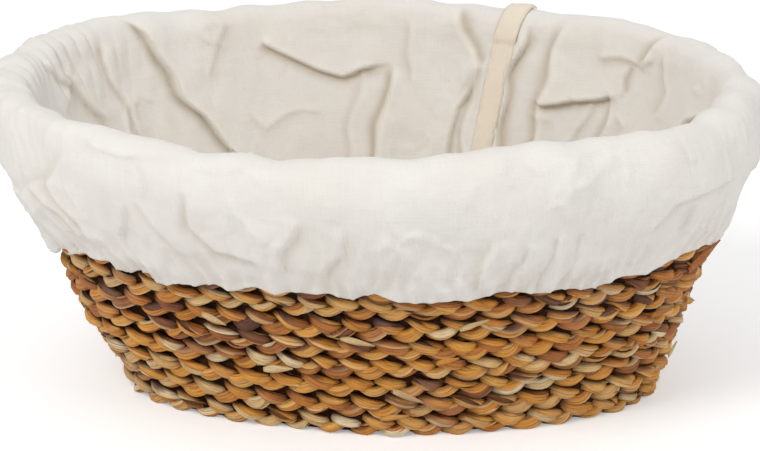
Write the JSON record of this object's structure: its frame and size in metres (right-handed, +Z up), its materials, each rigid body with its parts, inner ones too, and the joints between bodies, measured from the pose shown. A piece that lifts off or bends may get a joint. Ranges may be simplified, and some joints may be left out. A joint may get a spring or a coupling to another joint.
{
  "type": "proving basket",
  "caption": "Oval dough-proving basket of sewn leaf plait with a removable cotton liner folded over the rim and held by elastic.",
  "frame": {"origin": "centre of the base's underside, on the table", "axes": "+X along the oval, +Y across it towards the back, +Z up"},
  "size_m": [0.3002, 0.2082, 0.1264],
  "materials": {
    "leaf_plait": "dry plaited leaf, matte with a faint sheen",
    "cotton": "unbleached cotton, plain weave",
    "elastic_band": "braided elastic"
  },
  "bodies": {
    "basket": {"wall_plait": "leaf_plait", "base_plait": "leaf_plait"},
    "liner": {"liner_bottom": "cotton", "liner_wall": "cotton", "liner_cuff": "cotton", "elastic": "elastic_band", "side_seam": "cotton", "bottom_seam": "cotton"}
  },
  "joints": [
    {"name": "liner_lift", "type": "slide", "parent": "basket", "child": "liner", "axis": [0, 0, 1], "range_m": [0, 0.15], "deforming": ["liner_cuff", "elastic"]}
  ]
}
